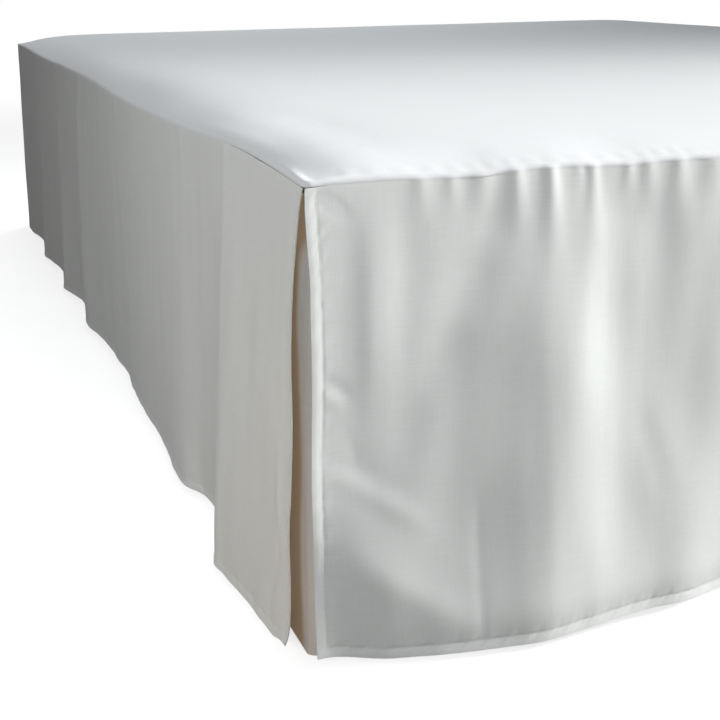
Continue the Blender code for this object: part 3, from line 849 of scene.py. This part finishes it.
def makeBase():
    # The top's height is the shoulder's quarter ellipse taken across times the same taken lengthways. Under
    # its border come a piped seam, the wall, a second piped seam and the flat underside
    width, drop = baseBlock["shoulder"]
    welt, r = baseBlock["welt"], baseBlock["cornerRadius"] - baseBlock["welt"]
    half, foot, head = baseBlock["half"] - welt, baseBlock["foot"] + welt, baseBlock["head"] - welt
    x, y = np.meshgrid(blockStations(-half, half, r), blockStations(foot, head, r))
    fromSide = half - np.abs(x)
    fromEnd = np.minimum(y - foot, head - y)
    rise = np.sqrt(1 - (1 - np.clip(fromSide / width, 0, 1)) ** 2)
    rise = rise * np.sqrt(1 - (1 - np.clip(fromEnd / width, 0, 1)) ** 2)
    sunk = np.abs(unevenness(x, y, 71, 0.22, baseBlock["softness"]))
    z = baseBlock["top"] - drop * (1 - rise) - sunk * rise
    # Each corner square is drawn in to a quarter disc
    middle = (foot + head) / 2
    overX = np.abs(x) - (half - r)
    overY = np.abs(y - middle) - (head - middle - r)
    inCorner = (overX > 0) & (overY > 0)
    reach = np.maximum(overX, overY) / np.maximum(np.hypot(overX, overY), 1e-9)
    x = np.where(inCorner, np.sign(x) * (half - r + overX * reach), x)
    y = np.where(inCorner, middle + np.sign(y - middle) * (head - middle - r + overY * reach), y)
    top = np.stack([x, y, z], axis=-1)
    rows, columns = x.shape
    loop = borderLoop(rows, columns)
    border = top.reshape(-1, 3)[loop]
    way = np.roll(border, -1, axis=0)[:, :2] - np.roll(border, 1, axis=0)[:, :2]
    away = np.stack([way[:, 1], -way[:, 0]], axis=-1) / np.linalg.norm(way, axis=-1, keepdims=True)
    # The wall's profile: how far out of the border, and at what height
    under, wallIn = baseBlock["underside"], baseBlock["wallIn"]
    rimIn, rimUp = baseBlock["rim"]
    arc = np.linspace(math.pi / 2, -math.pi / 2, 9)
    upper = baseBlock["top"] - drop - welt - baseBlock["weltGap"]
    lower = under + 2 * welt
    wall = np.linspace(upper - welt - 0.002, lower + welt + 0.002, 14)
    swell = -wallIn * np.sin(np.linspace(0, math.pi, 14)) ** 0.5
    out = np.concatenate([welt * np.cos(arc), swell, welt * np.cos(arc), [-wallIn, -rimIn]])
    rim = [under + rimUp, under]
    height = np.concatenate([upper + welt * np.sin(arc), wall, lower + welt * np.sin(arc), rim])
    ring = np.empty((len(out), len(loop), 3))
    ring[..., :2] = border[None, :, :2] + away[None] * out[:, None, None]
    ring[..., 2] = height[:, None]
    # The wall's rings go round from the top's border down; the last one is closed by a flat cap
    first = rows * columns
    numbers = np.concatenate([loop[None], first + np.arange(ring[..., 0].size).reshape(len(out), -1)])
    after = np.roll(numbers, -1, axis=1)
    down = np.stack([after[:-1], numbers[:-1], numbers[1:], after[1:]], axis=-1).reshape(-1, 4)
    points = np.concatenate([top.reshape(-1, 3), ring.reshape(-1, 3)])
    quads = np.concatenate([gridQuads(rows, columns), down])
    piece = meshObject("bedBase", points, quads, points[:, :2], tickingCloth, caps=[numbers[-1]])
    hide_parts("bed_base")
    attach(piece, "root")
    print("base made,", len(piece.data.polygons), "faces")


leg = {
    "sides": 48,
    "profile": [  # radius, up
        (0.0175, 0.0000), (0.0190, 0.0006), (0.0199, 0.0022), (0.0200, 0.0050), (0.0206, 0.0200),
        (0.0220, 0.0600), (0.0238, 0.1100), (0.0254, 0.1560), (0.0258, 0.1660), (0.0252, 0.1680),
        (0.0250, 0.1700), (0.0254, 0.1720), (0.0272, 0.1742), (0.0279, 0.1770), (0.0280, 0.1800),
        (0.0280, 0.1890), (0.0276, 0.1910), (0.0268, 0.1919),
    ],
}


def makeLeg(number):
    # A turned leg: the profile's radius and height taken round a circle, with a flat cap at either end
    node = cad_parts[f"leg_{number}"]
    centre = node.matrix_world @ (sum((Vector(corner) for corner in node.bound_box), Vector()) / 8)
    profile = np.array(leg["profile"])
    turn = np.arange(leg["sides"]) * 2 * math.pi / leg["sides"]
    points = np.empty((len(profile), leg["sides"], 3))
    points[..., 0] = centre.x + profile[:, :1] * np.cos(turn)
    points[..., 1] = centre.y + profile[:, :1] * np.sin(turn)
    points[..., 2] = profile[:, 1:]
    numbers = np.arange(points[..., 0].size).reshape(len(profile), -1)
    after = np.roll(numbers, -1, axis=1)
    quads = np.stack([numbers[:-1], after[:-1], after[1:], numbers[1:]], axis=-1).reshape(-1, 4)
    flat = points.reshape(-1, 3)
    caps = [numbers[0, ::-1], numbers[-1]]
    piece = meshObject(f"leg{number}", flat, quads, flat[:, :2], beechWood, caps=caps)
    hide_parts(f"leg_{number}")
    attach(piece, "root")


makeBase()
for number in range(1, 7):
    makeLeg(number)
print("legs made")

# Floor, light and camera
floor = {
    "colour": "#d9d9d9",
    "glow": 0.74,  # keeps it near white, as the photo's ground is
    "farGlow": 0.26,  # what is added where no lamp reaches, so that it meets the white wall
    "far": (1.8, 5.0),  # from the middle: where that starts, and where it is full
    "reach": 9.0,
    "rings": 13,
    "spokes": 97,
}


def makeFloor():
    # A disc: rings of points, whose radius grows with the square of the ring's number
    rings, spokes = floor["rings"], floor["spokes"]
    turn = np.linspace(0, 2 * math.pi, spokes)[None]
    radius = floor["reach"] * np.linspace(0, 1, rings)[:, None] ** 2
    points = np.stack([radius * np.cos(turn), radius * np.sin(turn), 0 * radius * turn], axis=-1)
    points = points.reshape(-1, 3)
    paper, tree, shader = newMaterial("palePaper", {"roughness": 1.0, "specular": 0.0})
    shader.inputs["Base Color"].default_value = linear(floor["colour"])
    shader.inputs["Emission Color"].default_value = linear("#ffffff")
    far = addNode(tree, "Attribute", {"attribute_name": "far"}).outputs["Fac"]
    glow = mathNode(tree, "ADD", mathNode(tree, "MULTIPLY", far, floor["farGlow"]), floor["glow"])
    tree.links.new(glow, shader.inputs["Emission Strength"])
    near, full = floor["far"]
    share = ease((np.hypot(points[:, 0], points[:, 1]) - near) / (full - near))
    sheet = meshObject("floor", points, gridQuads(rings, spokes), points[:, :2], paper, {"far": share})
    sheet.visible_diffuse = False  # its glow is for the eye alone, and doesn't light the cloth from below


makeFloor()

light = {
    # name: place, aimed at, width, height, power, colour, beam in degrees
    "key": ((3.60, -1.92, 2.00), (-0.55, -1.12, 0.25), 1.1, 1.1, 20.5, "#ffffff", 40),
    "fill": ((-2.05, -2.30, 1.05), (-0.78, -0.85, 0.50), 0.9, 0.9, 2.4, "#fafcff", 80),
    "sideFill": ((-2.70, -1.50, 1.30), (-0.78, -0.60, 0.35), 0.8, 0.8, 12.2, "#ffffff", 180),
    "frontSoft": ((-0.90, -4.20, 1.60), (-0.40, -1.00, 0.30), 2.0, 2.0, 13.0, "#ffffff", 180),
    "lowWarm": ((-1.10, -1.30, 0.03), (-0.79, -0.96, 0.08), 0.3, 0.3, 0.13, "#ffd2a8", 110),
    "splitSoft": ((-1.90, -2.20, 0.24), (-0.77, -0.98, 0.20), 0.6, 0.6, 5.9, "#fdfeff", 180),
    "leftSoft": ((-1.50, -0.62, 1.15), (-0.78, -0.62, 0.42), 0.5, 1.4, 0.45, "#fafcff", 90),
    "headSoft": ((-0.20, 1.40, 1.90), (-0.30, 0.30, 0.42), 1.2, 1.2, 18.0, "#fafdff", 180),
    "rightSide": ((2.90, -3.90, 1.80), (0.77, 0.10, 0.25), 1.2, 1.2, 150.0, "#fffefc", 180),
}
# The key is too strong for the side that faces it, and the split's depth is lit by a lamp of its own. Where
# another lamp is moved, the renderer may let that one reach the left panel too
lightsOnly = {
    "rightSide": ["rightPanel", "rightInsert"],
    "lowWarm": ["leftPanel", "leftInsert"],
    "splitSoft": ["leftInsert"],
}
lightsAllBut = {
    "key": ["rightPanel", "rightInsert", "leftInsert"],
    "fill": ["leftInsert"],
    "sideFill": ["leftInsert"],
    "frontSoft": ["leftInsert", "rightPanel", "rightInsert", "deckCloth"],
}
shadowedOnlyBy = {"splitSoft": ["leftInsert"]}


def linkedGroup(name, pieces, state):
    # A collection that includes or excludes the named pieces
    group = bpy.data.collections.new(name)
    for piece in pieces:
        group.objects.link(bpy.data.objects[piece])
    for member in group.collection_objects:
        member.light_linking.link_state = state
    return group


for name, (place, aim, width, height, power, colour, beam) in light.items():
    lamp = bpy.data.lights.new(name, "AREA")
    lamp.shape = "RECTANGLE"
    lamp.size, lamp.size_y = width, height
    lamp.spread = math.radians(beam)
    lamp.energy = power
    lamp.color = linear(colour)[:3]
    lampObject = bpy.data.objects.new(name, lamp)
    lampObject.location = place
    lampObject.rotation_euler = (Vector(aim) - Vector(place)).to_track_quat("-Z", "Y").to_euler()
    bpy.context.scene.collection.objects.link(lampObject)
    linking = lampObject.light_linking
    if name in lightsOnly:
        linking.receiver_collection = linkedGroup(name + "Lit", lightsOnly[name], "INCLUDE")
    if name in lightsAllBut:
        linking.receiver_collection = linkedGroup(name + "Unlit", lightsAllBut[name], "EXCLUDE")
    if name in shadowedOnlyBy:
        linking.blocker_collection = linkedGroup(name + "Shadowed", shadowedOnlyBy[name], "INCLUDE")

sky = {
    # the share of the way from straight down to straight up, and the colour there
    "low": (0.42, "#302d29"),
    "high": (0.60, "#414244"),
    "wall": "#ffffff",  # what the eye sees, in place of the dim sky that lights the cloth
}
world = bpy.data.worlds.new("studio")
bpy.context.scene.world = world
world.use_nodes = True
tree = world.node_tree
background = tree.nodes["Background"]
way = addNode(tree, "TexCoord").outputs["Generated"]
up = addNode(tree, "SeparateXYZ", None, {0: way}).outputs["Z"]
height = addNode(tree, "MapRange", {"From Min": -1.0, "From Max": 1.0}, {"Value": up})
ramp = addNode(tree, "ValToRGB", None, {"Fac": height.outputs[0]})
for element, key in zip(ramp.color_ramp.elements, ("low", "high")):
    element.position = sky[key][0]
    element.color = linear(sky[key][1])
seen = addNode(tree, "LightPath").outputs["Is Camera Ray"]
wall = {"data_type": "RGBA", 7: linear(sky["wall"])}
wall = addNode(tree, "Mix", wall, {0: seen, 6: ramp.outputs[0]})
tree.links.new(wall.outputs[2], background.inputs["Color"])
background.inputs["Strength"].default_value = 1.0

camera = {
    "right": (0.93627, -0.35110, -0.01124),
    "up": (0.11670, 0.28069, 0.95268),
    "view": (0.33133, 0.89328, -0.30377),
    "fromCorner": (-0.27337, -0.85038, 0.55670),
    "lens": 61.465,
    "sensor": 36.0,
    "sees": 100.0,
}
lens = bpy.data.cameras.new("photoCamera")
lens.sensor_width = camera["sensor"]
lens.lens = camera["lens"]
lens.clip_end = camera["sees"]
cameraObject = bpy.data.objects.new("photoCamera", lens)
turned = Matrix((camera["right"], camera["up"], [-v for v in camera["view"]])).transposed().to_4x4()
turned.translation = Vector((-halfSeam, footSeam, 0.0)) + Vector(camera["fromCorner"])
cameraObject.matrix_world = turned
bpy.context.scene.collection.objects.link(cameraObject)
bpy.context.scene.camera = cameraObject
bpy.context.scene.view_settings.view_transform = "Standard"
print("light and camera set")
